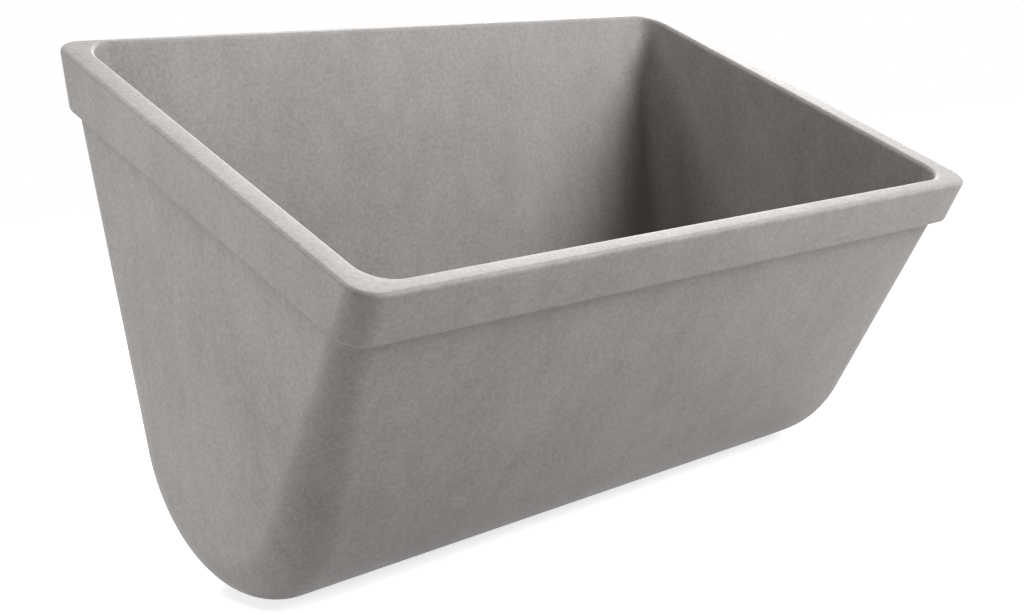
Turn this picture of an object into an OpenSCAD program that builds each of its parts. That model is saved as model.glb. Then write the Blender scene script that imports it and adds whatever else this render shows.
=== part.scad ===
// Elevator bucket, one casting: flat belt face at the back, round bottom, sloping front,
// drafted ends, and a thick lip band round the ends and the front of the mouth.
//
// X runs along the bucket, +Y is the outward normal of the belt face, and Z is up.
// The origin is the middle of the flat part of the belt face.

/* [Overall] */
// Length over the lip band, end to end
length = 400; // [260:1:800]
// Reach from the belt face to the front edge of the lip
projection = 207; // [180:1:260]
// Height of the back, from the lowest point of the bottom to its top edge
back_height = 254; // [215:1:330]
// Fall of the mouth towards the front, in degrees
mouth_slope = 29.7; // [15:0.1:36]

/* [Walls] */
// Thickness of the back, bottom and front walls
wall = 5; // [3:0.1:9]
// Thickness of an end wall at the mouth
end_wall = 9.5; // [6:0.1:14]
// Outer radius of the round bottom
bottom_r = 69.5; // [50:0.5:90]
// Draft of the end walls outside, square to the mouth, in degrees
outer_draft = 2.3; // [1:0.1:4]
// Draft of the end walls inside, in degrees
inner_draft = 2; // [0.5:0.1:5]

/* [Lip band] */
// How far the lip band stands out from the end walls at the mouth
end_step = 3.5; // [1.5:0.1:8]
// How far the lip band stands out from the front wall
front_step = 4.5; // [1.5:0.1:8]
// Height of the lip band, square to the mouth
lip_height = 24.5; // [14:0.5:40]
// Draft of the outer face of the lip band at the ends, in degrees
lip_draft = 1; // [0:0.1:3]
// Radius of the lip's upper outer edge
lip_edge_r = 2; // [0.5:0.1:4]
// Radius of the lip's lower outer edge
lip_foot_r = 2.5; // [0.5:0.1:3]

/* [Corners] */
// Radius of the lip band's corners, seen from above
lip_corner_r = 13; // [8:0.5:24]
// Outer corner radius of the walls just under the lip band
corner_r_top = 13; // [8:0.5:24]
// Outer radius between the end walls and the round bottom
corner_r_bottom = 22.5; // [8:0.5:40]
// Inner corner radius at the mouth
inner_r_top = 13; // [5:0.5:20]
// Inner radius between the end walls and the round bottom
inner_r_bottom = 18; // [5:0.5:36]

/* [Hidden] */

ball_fn = 36;          // facets round the balls that blend the corners
lip_fn = 64;           // facets round a corner of the lip band
arc_steps = 28;        // balls along the round bottom
arc_proud = 0.15;      // how far the body stands past the belt face before it is cut flat
over = 2;              // how far a cut runs past the body, as a share of its size

// The mouth plane holds the top edge of the back. Along it, s runs from that edge to the
// front; d is the distance below it. front_lean is the front wall's angle from vertical,
// such that the lip's front face is tangent to the round bottom carried out by front_step.
lip_front_z = back_height - projection * tan(mouth_slope);
to_lip = [projection - bottom_r, lip_front_z - bottom_r];
front_lean = acos((bottom_r + front_step) / norm(to_lip)) - atan2(to_lip.y, to_lip.x);
front_tilt = front_lean - mouth_slope;
mouth_reach = projection / cos(mouth_slope);
outer_front = mouth_reach - front_step / cos(front_tilt);
inner_front = mouth_reach - (front_step + wall) / cos(front_tilt);
half_outer = length / 2 - end_step;
half_inner = half_outer - end_wall;
// Depth of the walls' upper corner balls: they meet the belt face above the lip's foot
wall_top = lip_height - lip_foot_r - corner_r_top * sin(mouth_slope) - 1;
belt_mid = (bottom_r + back_height) / 2;

// Distance below the mouth of a point of the side view, and its place along the mouth
function below_mouth(y, z) = (back_height - z) * cos(mouth_slope) + y * sin(mouth_slope);
function along_mouth(y, z) = -y * cos(mouth_slope) + (back_height - z) * sin(mouth_slope);

// Places of a ball of radius r, at depth d, that touches the back, front or end plane:
// back and front are given at the mouth, and the end plane closes in by its draft
function back_touch(r, d, inset) = d * tan(mouth_slope) + (r + inset) / cos(mouth_slope);
function front_touch(r, d, face) = face - d * tan(front_tilt) - r / cos(front_tilt);
function end_touch(r, d, half, draft) = half - d * tan(draft) - r / cos(draft);

// Moves children from the mouth's own frame (X, -s, -d) to the bucket's
module at_mouth() {
    translate([0, 0, back_height - belt_mid]) rotate([mouth_slope, 0, 0]) children();
}

// A ball in each half of the bucket
module ball_pair(x, s, d, r) {
    for (side = [-1, 1]) translate([side * x, -s, -d]) sphere(r, $fn = ball_fn);
}

// A convex body that fits the back, the front, the drafted ends and the round bottom.
// inset is the distance from the belt plane to its back, front its front plane at the mouth.
module wrapped_body(inset, front, half, draft, bottom, r_top, r_bottom, d_top) {
    hull() {
        ball_pair(end_touch(r_top, d_top, half, draft), back_touch(r_top, d_top, inset), d_top, r_top);
        ball_pair(end_touch(r_top, d_top, half, draft), front_touch(r_top, d_top, front), d_top, r_top);
        for (i = [0:arc_steps]) {
            turn = i / arc_steps * (180 - front_lean);
            y = (bottom - r_bottom) * cos(turn) - bottom - inset;
            z = bottom + inset - (bottom - r_bottom) * sin(turn);
            d = below_mouth(y, z);
            ball_pair(end_touch(r_bottom, d, half, draft), along_mouth(y, z), d, r_bottom);
        }
    }
}

// One rounded corner disc of the lip band: its upper or lower rim, with a round edge
module lip_disc(x, s, d, edge_r) {
    for (side = [-1, 1]) translate([side * x, -s, -d])
        rotate_extrude($fn = lip_fn) translate([lip_corner_r - edge_r, 0]) circle(edge_r, $fn = 24);
}

// The solid block whose rim becomes the lip band
module lip_block() {
    core_r = lip_corner_r - lip_edge_r;
    foot_core_r = lip_corner_r - lip_foot_r;
    top_d = lip_edge_r;
    foot_d = lip_height - lip_foot_r;
    hull() {
        for (part = [[core_r, lip_edge_r, top_d], [foot_core_r, lip_foot_r, foot_d]]) {
            core = part[0];
            edge = part[1];
            d = part[2];
            x = end_touch(edge, d, length / 2, lip_draft) - core;
            lip_disc(x, back_touch(edge, d, 0) + core, d, edge);
            lip_disc(x, front_touch(edge, d, mouth_reach) - core, d, edge);
        }
    }
}

module bucket() {
    color("#97938f") difference() {
        union() {
            at_mouth() lip_block();
            at_mouth() wrapped_body(-arc_proud, outer_front, half_outer, outer_draft, bottom_r + arc_proud,
                                    corner_r_top, corner_r_bottom, wall_top);
        }
        at_mouth() wrapped_body(wall, inner_front, half_inner, inner_draft, bottom_r - wall,
                                inner_r_top, inner_r_bottom, -inner_r_top);
        // above the mouth, and behind the belt face
        at_mouth() translate([-length, -over * projection, 0]) cube([2 * length, 2 * over * projection, projection]);
        translate([-length, 0, -over * back_height]) cube([2 * length, projection, 2 * over * back_height]);
    }
}

bucket();
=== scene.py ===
import bpy
import numpy as np
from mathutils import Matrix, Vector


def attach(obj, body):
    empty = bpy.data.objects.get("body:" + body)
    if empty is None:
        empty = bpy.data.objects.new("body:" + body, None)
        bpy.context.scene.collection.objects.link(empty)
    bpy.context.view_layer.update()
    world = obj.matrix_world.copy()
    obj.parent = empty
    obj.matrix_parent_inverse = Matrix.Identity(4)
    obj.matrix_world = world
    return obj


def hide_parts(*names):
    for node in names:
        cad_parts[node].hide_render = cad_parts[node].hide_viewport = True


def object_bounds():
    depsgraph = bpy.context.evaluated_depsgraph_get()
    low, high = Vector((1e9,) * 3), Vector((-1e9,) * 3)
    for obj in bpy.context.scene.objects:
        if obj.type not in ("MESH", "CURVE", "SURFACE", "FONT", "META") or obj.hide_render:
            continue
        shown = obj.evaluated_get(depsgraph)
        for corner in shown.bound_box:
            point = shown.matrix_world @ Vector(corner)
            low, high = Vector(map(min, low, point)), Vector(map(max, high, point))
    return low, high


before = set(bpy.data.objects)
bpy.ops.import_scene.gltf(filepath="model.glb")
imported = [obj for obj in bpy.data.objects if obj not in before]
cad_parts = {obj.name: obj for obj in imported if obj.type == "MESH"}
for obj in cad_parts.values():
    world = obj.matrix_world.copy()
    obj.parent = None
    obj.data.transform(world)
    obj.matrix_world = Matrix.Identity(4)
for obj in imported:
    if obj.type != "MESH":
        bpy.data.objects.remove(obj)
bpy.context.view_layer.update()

# ---- The casting ---------------------------------------------------------------------
# The whole bucket, cast in one piece in a sand mould and shot-blasted. Walls and lip are one
# skin here: up the inside, over the lip, down the lip band, under its foot and round the outside.
# It is worked out in millimetres, from the middle of the flat belt face.

LENGTH = 400.0          # over the lip band
PROJECTION = 207.0      # from the belt face to the front edge of the lip
BACK_HEIGHT = 254.0     # from the lowest point to the sharp top edge of the back
MOUTH_SLOPE = np.radians(29.7)  # down towards the front
WALL = 5.0              # back, bottom and front
END_WALL = 9.5          # at the mouth
BOTTOM_R = 69.5         # outside
OUTER_DRAFT = np.radians(2.3)
INNER_DRAFT = np.radians(2.0)
END_STEP = 3.5          # lip band proud of the end walls
FRONT_STEP = 4.5        # lip band proud of the front wall
LIP_HEIGHT = 24.5       # square to the mouth
LIP_DRAFT = np.radians(1.0)
LIP_CORNER_R = 13.0     # in the plane of the mouth
CORNER_R = (13.0, 22.5)         # outside: under the lip, and along the bottom
INNER_CORNER_R = (13.0, 18.0)   # inside: at the mouth, and along the bottom
LIP_EDGE_R = 2.0        # upper outer edge of the lip
INNER_EDGE_R = 2.4      # inner edge of the mouth
FOOT_R = 2.4            # lower outer edge of the lip
COVE_R = 1.8            # hollow between the lip's foot and the wall
FOOT_SHARE, COVE_SHARE = 0.6, 0.36      # the most of the step that foot and hollow may take

SIDE, ARC, CORNER, EDGE = 16, 26, 22, 8     # samples along a straight, the bottom, a corner, an edge
MERGE_GRID = 2e4        # steps in a millimetre; points on the same step are merged

X = np.array([1.0, 0.0, 0.0])
AWAY = np.array([0.0, -np.cos(MOUTH_SLOPE), -np.sin(MOUTH_SLOPE)])   # along the mouth, to the front
UP = np.array([0.0, -np.sin(MOUTH_SLOPE), np.cos(MOUTH_SLOPE)])      # square to the mouth
TOP_EDGE = np.array([0.0, 0.0, (BACK_HEIGHT - BOTTOM_R) / 2])        # sharp top edge of the back

# The lip's front face is tangent to the round bottom carried out by the front step. That gives
# the front's lean from upright.
lip_front = np.array([PROJECTION - BOTTOM_R,
                      BACK_HEIGHT - PROJECTION * np.tan(MOUTH_SLOPE) - BOTTOM_R])
FRONT_LEAN = (np.arccos((BOTTOM_R + FRONT_STEP) / np.hypot(*lip_front))
              - np.arctan2(lip_front[1], lip_front[0]))
FRONT_TILT = FRONT_LEAN - MOUTH_SLOPE       # of the front, from square to the mouth
REACH = PROJECTION / np.cos(MOUTH_SLOPE)    # along the mouth, from the belt face to the lip's edge


def at_mouth(x, along, depth):
    """Point of the bucket: x across, along the mouth's slope from the back, depth square below it."""
    x, along, depth = np.broadcast_arrays(x, along, depth)
    return TOP_EDGE + x[..., None] * X + along[..., None] * AWAY - depth[..., None] * UP


def depth_of(point):
    """How far a point lies below the plane of the mouth, square to it."""
    return (TOP_EDGE - point) @ UP


def unit(v):
    """Vectors scaled to length one."""
    return v / np.linalg.norm(v, axis=-1, keepdims=True)


def turn(a, b, t):
    """Directions from a to b along the great circle through both, t from 0 to 1."""
    a, b = np.broadcast_arrays(a, b)
    angle = np.arccos(np.clip((a * b).sum(-1), -1, 1))[..., None]
    t = np.asarray(t)[..., None]
    apart = angle > 1e-6
    safe = np.where(apart, np.sin(angle), 1.0)
    return np.where(apart, (np.sin((1 - t) * angle) * a + np.sin(t * angle) * b) / safe, a)


def spread(n, ends=2):
    """n steps from 0 to 1, closer together at both ends, or at the far end only."""
    t = np.linspace(0, 1, n + 1)
    return (1 - np.cos(np.pi * t)) / 2 if ends == 2 else np.sin(np.pi / 2 * t)


def line(p, q, t):
    """Points on the straights from p to q: p plus the share t of the way."""
    return p[..., None, :] + (q - p)[..., None, :] * t[:, None]


def half_loop(back, front):
    """One turn round half the bucket, from the middle of the back to the middle of the front:
    a straight to the back corner, the corner's points, the end, the front corner's points, and
    a straight to the middle. Straights are drawn between the corners' outermost points."""
    back_middle = back[..., 0, :] * [0, 1, 1]
    front_middle = front[..., -1, :] * [0, 1, 1]
    return np.concatenate([
        line(back_middle, back[..., 0, :], spread(SIDE, 1)[:-1]),
        back,
        line(back[..., -1, :], front[..., 0, :], spread(SIDE)[1:-1]),
        front,
        line(front_middle, front[..., -1, :], spread(SIDE, 1)[:-1])[..., ::-1, :],
    ], axis=-2)


def wall_corners(inset, face, half, draft, bottom, radii, sink):
    """The blended corners of a wall's skin, as balls that roll down the back, round the bottom and
    up the front while they touch the end plane. The skin lies inset from the belt face, its front
    crosses the plane of the mouth at face, and its end at half. bottom is the radius of the round
    bottom, radii are the corner's at the mouth and along the bottom, and the upper balls' centres
    lie sink below the mouth. In the result, back and front each hold an upper ball's centre, the
    centre of the ball at that end of the bottom's arc, and the fan of directions from one touching
    point to the other."""
    top, low = radii
    end = np.cos(draft) * X - np.sin(draft) * UP
    back, front = np.array([0, 1.0, 0]), np.array([0, -np.cos(FRONT_LEAN), -np.sin(FRONT_LEAN)])
    x = half - sink * np.tan(draft) - top / np.cos(draft)
    first = at_mouth(x, sink * np.tan(MOUTH_SLOPE) + (top + inset) / np.cos(MOUTH_SLOPE), sink)
    last = at_mouth(x, face - sink * np.tan(FRONT_TILT) - top / np.cos(FRONT_TILT), sink)
    angle = np.linspace(0, np.pi - FRONT_LEAN, 2 * ARC + 1)
    facing = np.stack([0 * angle, np.cos(angle), -np.sin(angle)], -1)
    centre = facing * (bottom - low) + [0, -bottom - inset, TOP_EDGE[2] - BACK_HEIGHT + bottom + inset]
    centre[:, 0] = half - depth_of(centre) * np.tan(draft) - low / np.cos(draft)
    fan = np.linspace(0, 1, CORNER + 1)
    return dict(back=(first, centre[0], turn(back, end, fan)),
                front=(last, centre[-1], turn(end, front, fan)),
                top=top, low=low, centre=centre, facing=facing, end=end, fan=fan)


def corner_row(skin, side, depth):
    """Points of a corner of a wall's skin that have the given depth, one for each direction of its
    fan. The corner is the cone between two balls: centre plus radius times direction, with the
    share between the balls solved for."""
    ball, low_ball, fan = skin[side]
    radius, low_radius = skin["top"], skin["low"]
    tip = -(fan @ UP)
    share = ((depth - depth_of(ball) - radius * tip)
             / (depth_of(low_ball) - depth_of(ball) + (low_radius - radius) * tip))[..., None]
    return ball + share * (low_ball - ball) + (radius + share * (low_radius - radius)) * fan


def wall_rows(skin, start):
    """Half loops of a wall's skin from just below the given depths down to the bottom, where front
    and back meet in one line. start holds the depths at the corner's points, for each side."""
    t = spread(SIDE)[1:, None]
    upper = []
    for side in ("back", "front"):
        _, low_ball, fan = skin[side]
        arc_start = depth_of(low_ball + skin["low"] * fan)
        upper.append(corner_row(skin, side, start[side] + t * (arc_start - start[side])))
    facing, centre, low, fan = skin["facing"], skin["centre"], skin["low"], skin["fan"]
    back = centre[:, None] + low * turn(facing[:, None], skin["end"], fan[None])
    front = centre[:, None] + low * turn(skin["end"], facing[:, None], fan[None])
    lower = half_loop(back[1:ARC + 1], front[::-1][1:ARC + 1])
    return np.concatenate([half_loop(*upper), lower])


def band_corner(side, depth, flat_x):
    """A corner of the lip band's skin at a depth: a quarter turn of the lip's corner radius in the
    plane of the mouth. The back one starts on the flat belt face, at flat_x, where the wall's own
    corner starts. Gives the points and the skin's directions."""
    middle_x = LENGTH / 2 - depth * np.tan(LIP_DRAFT) - LIP_CORNER_R
    if side == "back":
        face, lean, inward, start = 0.0, np.tan(MOUTH_SLOPE), 1, flat_x - middle_x
    else:
        face, lean, inward, start = REACH, -np.tan(FRONT_TILT), -1, 0.0
    run = np.linspace(start, LIP_CORNER_R * np.pi / 2, CORNER + 1)
    turns = np.maximum(run, 0) / LIP_CORNER_R
    across, along = np.sin(turns), -np.cos(turns)
    if side == "front":
        across, along = -along, across
    x = middle_x + np.minimum(run, 0) + LIP_CORNER_R * across
    s = face + depth * lean + inward * LIP_CORNER_R + LIP_CORNER_R * along
    direction = across[:, None] * X + along[:, None] * AWAY
    slip = across * -np.tan(LIP_DRAFT) + along * lean
    return at_mouth(x, s, depth), unit(direction + slip[:, None] * UP)


def edge_rows(edge, a, b, radius, hollow=False):
    """Quarter-round along a sharp edge between two skins: about a centre line that lies the radius
    inside both, the directions turn from skin a's to skin b's. A hollow one is seen from inside."""
    radius = np.asarray(radius)[..., None]
    reach = radius / (1 + (a * b).sum(-1, keepdims=True)) * (a + b)
    direction = turn(a, b, np.linspace(0, 1, EDGE + 1)[:, None])
    if hollow:
        return edge + reach - radius * direction
    return edge - reach + radius * direction


outside = wall_corners(0, REACH - FRONT_STEP / np.cos(FRONT_TILT), LENGTH / 2 - END_STEP, OUTER_DRAFT,
                       BOTTOM_R, CORNER_R, LIP_HEIGHT - CORNER_R[0] * np.sin(MOUTH_SLOPE))
inside = wall_corners(WALL, REACH - (FRONT_STEP + WALL) / np.cos(FRONT_TILT),
                      LENGTH / 2 - END_STEP - END_WALL, INNER_DRAFT,
                      BOTTOM_R - WALL, INNER_CORNER_R, -INNER_CORNER_R[0])

# The lip at each corner: the inner edge of the mouth, the upper outer edge, the foot and the
# hollow below it. The belt face has no step, so foot and hollow run out to nothing there.
flat_x = corner_row(outside, "back", LIP_HEIGHT)[0, 0]
lip, inner_start, outer_start = [], {}, {}
for side in ("back", "front"):
    inner_fan, outer_fan = inside[side][2], outside[side][2]
    mouth, wall = corner_row(inside, side, 0.0), corner_row(outside, side, LIP_HEIGHT)
    rim, rim_face = band_corner(side, 0.0, flat_x)
    foot, foot_face = band_corner(side, LIP_HEIGHT, flat_x)
    step = np.maximum(((foot - wall) * foot_face).sum(-1), 0.0)
    edges = [edge_rows(mouth, -inner_fan, UP, INNER_EDGE_R),
             edge_rows(rim, UP, rim_face, LIP_EDGE_R),
             edge_rows(foot, foot_face, -UP, np.minimum(FOOT_R, FOOT_SHARE * step)),
             edge_rows(wall, -UP, outer_fan, np.minimum(COVE_R, COVE_SHARE * step), hollow=True)]
    lip.append(edges)
    inner_start[side], outer_start[side] = depth_of(edges[0][0]), depth_of(edges[-1][-1])

lip_rows = np.concatenate([half_loop(back, front) for back, front in zip(*lip)])
inner_rows = wall_rows(inside, inner_start)[::-1]
outer_rows = wall_rows(outside, outer_start)


def whole_loops(half):
    """Adds the mirrored other half to half loops, walked back from the front to the back."""
    other = half[:, -2:0:-1] * [-1, 1, 1]
    return np.concatenate([half, other], axis=1)


def skin_mesh(name, loops):
    """A closed mesh from loops of equal length: four-cornered faces between each loop and the
    next, and the first and last loop each sewn shut along their own middle by the merge."""
    rows, cols = loops.shape[:2]
    index = np.arange(rows * cols).reshape(rows, cols)
    right = np.roll(index, -1, axis=1)
    quads = np.stack([index[:-1], right[:-1], right[1:], index[1:]], -1).reshape(-1, 4)
    points = loops.reshape(-1, 3)
    _, first, merged = np.unique((points * MERGE_GRID).round().astype(np.int64),
                                 axis=0, return_index=True, return_inverse=True)
    faces = [tuple(dict.fromkeys(quad)) for quad in merged.reshape(-1)[quads].tolist()]
    mesh = bpy.data.meshes.new(name)
    mesh.from_pydata((points[first] / 1000).tolist(), [], [face for face in faces if len(face) > 2])
    mesh.validate()
    mesh.shade_smooth()
    obj = bpy.data.objects.new(name, mesh)
    bpy.context.collection.objects.link(obj)
    return obj


casting = skin_mesh("casting", whole_loops(np.concatenate([inner_rows, lip_rows, outer_rows])))
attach(casting, "root")
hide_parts("bucket")

# The skin of the casting: grey iron, blasted with steel shot after casting. That leaves a dull,
# even sheen, a fine grain like orange peel, and faint clouds, drawn out downwards, where the
# shot struck harder. Sizes in millimetres.
IRON = "#94908e"
IRON_DULL = "#787472"
GRIT = 1.8              # grain of the blasted sand skin
GRIT_HEIGHT = 0.15
MOTTLE = 11.0           # small soft spots, drawn out as the clouds are
CLOUD = 50.0            # clouds, twice as long as they are wide
DRAWN_OUT = (1, 1, 0.5)
GRIT_WEIGHT, MOTTLE_WEIGHT = 1.7, 0.7   # in the tone, beside one for the clouds
TONE = (1.1, 2.3)       # weighted sums at which the iron is at its dullest and its brightest


def linear(colour):
    """An sRGB hex colour as linear red, green, blue and one."""
    c = np.array([int(colour[i:i + 2], 16) for i in (1, 3, 5)]) / 255
    return (*np.where(c <= 0.04045, c / 12.92, ((c + 0.055) / 1.055) ** 2.4), 1.0)


def node(tree, kind, inputs=(), **settings):
    """Adds a node with its settings, and gives each input a value or a link from a socket."""
    made = tree.nodes.new(kind)
    for name, value in settings.items():
        setattr(made, name, value)
    for name, value in dict(inputs).items():
        if isinstance(value, bpy.types.NodeSocket):
            tree.links.new(value, made.inputs[name])
        else:
            made.inputs[name].default_value = value
    return made


def new_material(name):
    """An empty material with nodes, and its tree."""
    made = bpy.data.materials.new(name)
    made.use_nodes = True
    made.node_tree.nodes.clear()
    return made, made.node_tree


blasted, tree = new_material("shot-blasted cast iron")
place = node(tree, "ShaderNodeTexCoord").outputs["Object"]
drawn_out = node(tree, "ShaderNodeMapping", {"Vector": place, "Scale": DRAWN_OUT}).outputs[0]
clouds = node(tree, "ShaderNodeTexNoise",
              {"Vector": drawn_out, "Scale": 1000 / CLOUD, "Detail": 3.0}).outputs["Fac"]
mottle = node(tree, "ShaderNodeTexNoise",
              {"Vector": drawn_out, "Scale": 1000 / MOTTLE, "Detail": 2.0}).outputs["Fac"]
grain = node(tree, "ShaderNodeTexNoise",
             {"Vector": place, "Scale": 1000 / GRIT, "Detail": 2.0}).outputs["Fac"]
spots = node(tree, "ShaderNodeMath", {0: mottle, 1: MOTTLE_WEIGHT, 2: clouds}, operation="MULTIPLY_ADD")
specks = node(tree, "ShaderNodeMath", {0: grain, 1: GRIT_WEIGHT, 2: spots.outputs[0]},
              operation="MULTIPLY_ADD")
mixed = node(tree, "ShaderNodeMapRange",
             {"Value": specks.outputs[0], "From Min": TONE[0], "From Max": TONE[1]})
tone = node(tree, "ShaderNodeMixRGB",
            {"Fac": mixed.outputs[0], "Color1": linear(IRON_DULL), "Color2": linear(IRON)})
peel = node(tree, "ShaderNodeBump",
            {"Height": grain, "Strength": 0.3, "Distance": GRIT_HEIGHT / 1000})
shader = node(tree, "ShaderNodeBsdfPrincipled",
              {"Base Color": tone.outputs["Color"], "Normal": peel.outputs["Normal"],
               "Metallic": 0.15, "Roughness": 0.6})
node(tree, "ShaderNodeOutputMaterial", {"Surface": shader.outputs["BSDF"]})
casting.data.materials.append(blasted)

# ---- The floor and the light ----------------------------------------------------------
# A pale grey sheet for a floor, just under the round bottom, in a dim room. The camera and the
# shine of the metal see both as white. The grey throws little light back up, so that the corner
# between the two lit sides stays dark.
FLOOR_Z = float(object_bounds()[0].z)
FLOOR_SIZE = 40.0       # metres, as are all sizes below
PAPER = linear("#c0c0c0")
WHITE = linear("#ffffff")
ROOM = 0.05             # light of the room on the bucket and the floor
GLOW = (0.75, 1.0)      # what the camera sees of the floor beside its own lit grey: near, and far
GLOW_FROM_TO = (0.2, 2.5)       # distances from the bucket at which it is near and far


def greater(tree, a, b):
    """The greater of two numbers, as a socket."""
    return node(tree, "ShaderNodeMath", {0: a, 1: b}, operation="MAXIMUM").outputs[0]


def in_view(tree):
    """Two sockets that are one for rays in view and nothing for others: the first for those that
    come off a shiny or through a clear surface, the second for these and the camera's."""
    path = node(tree, "ShaderNodeLightPath").outputs
    shine = greater(tree, path["Is Glossy Ray"], path["Is Transmission Ray"])
    return shine, greater(tree, shine, path["Is Camera Ray"])


paper, tree = new_material("pale grey paper")
plain = node(tree, "ShaderNodeBsdfDiffuse", {"Color": PAPER})
away = node(tree, "ShaderNodeVectorMath",
            {0: node(tree, "ShaderNodeTexCoord").outputs["Object"]}, operation="LENGTH")
glow = node(tree, "ShaderNodeMapRange",
            {"Value": away.outputs["Value"], "From Min": GLOW_FROM_TO[0], "From Max": GLOW_FROM_TO[1],
             "To Min": GLOW[0], "To Max": GLOW[1]},
            interpolation_type="SMOOTHSTEP")
shine, view = in_view(tree)
bright = node(tree, "ShaderNodeEmission", {"Strength": greater(tree, glow.outputs[0], shine)})
lit = node(tree, "ShaderNodeAddShader", {0: plain.outputs[0], 1: bright.outputs[0]})
seen = node(tree, "ShaderNodeMixShader", {"Fac": view, 1: plain.outputs[0], 2: lit.outputs[0]})
node(tree, "ShaderNodeOutputMaterial", {"Surface": seen.outputs[0]})

bpy.ops.mesh.primitive_plane_add(size=FLOOR_SIZE)
floor = bpy.context.object
floor.name = "floor"
floor.location.z = FLOOR_Z
floor.data.materials.append(paper)

world = bpy.data.worlds.new("studio")
bpy.context.scene.world = world
world.use_nodes = True
tree = world.node_tree
tree.nodes.clear()
room = node(tree, "ShaderNodeBackground", {"Color": WHITE, "Strength": ROOM})
backdrop = node(tree, "ShaderNodeBackground", {"Color": WHITE, "Strength": 1.0})
seen = node(tree, "ShaderNodeMixShader",
            {"Fac": in_view(tree)[1], 1: room.outputs[0], 2: backdrop.outputs[0]})
node(tree, "ShaderNodeOutputWorld", {"Surface": seen.outputs[0]})


def soft_box(name, place, size, power):
    """A square lamp of the given width at a place, turned to face the bucket."""
    lamp = bpy.data.lights.new(name, "AREA")
    lamp.shape, lamp.size, lamp.energy = "SQUARE", size, power
    made = bpy.data.objects.new(name, lamp)
    bpy.context.collection.objects.link(made)
    made.location = place
    made.rotation_euler = (-made.location).to_track_quat("-Z", "Y").to_euler()


# The first stands steeply over the left end, so that the lip shades the wall below it. The second
# lights that end from the side, the third the front and the inside of the back, and the last the
# top of the lip. None stands before the front left corner, so it stays darker than both sides.
soft_box("left overhead box", (-0.7, 0.3, 1.4), 0.6, 17.5)
soft_box("low left box", (-1.5, 1.0, 0.15), 0.5, 12.0)
soft_box("right box", (1.1, -1.4, 0.8), 0.9, 42.5)
soft_box("far box", (1.2, 0.6, 1.1), 0.9, 32.0)

# ---- The camera ------------------------------------------------------------------------
# The view from the front left corner, a little above the front edge of the mouth. It looks over
# that edge at the inside of the back, and at the left end and the front from outside.
lens = bpy.data.cameras.new("camera")
lens.sensor_width, lens.lens = 36.0, 53.54
camera = bpy.data.objects.new("camera", lens)
camera.location = (-0.5131, -0.6377, 0.0207)
camera.rotation_euler = np.radians([84.006, 6.888, -42.303])
bpy.context.collection.objects.link(camera)
bpy.context.scene.camera = camera

bpy.context.scene.view_settings.view_transform = "Standard"
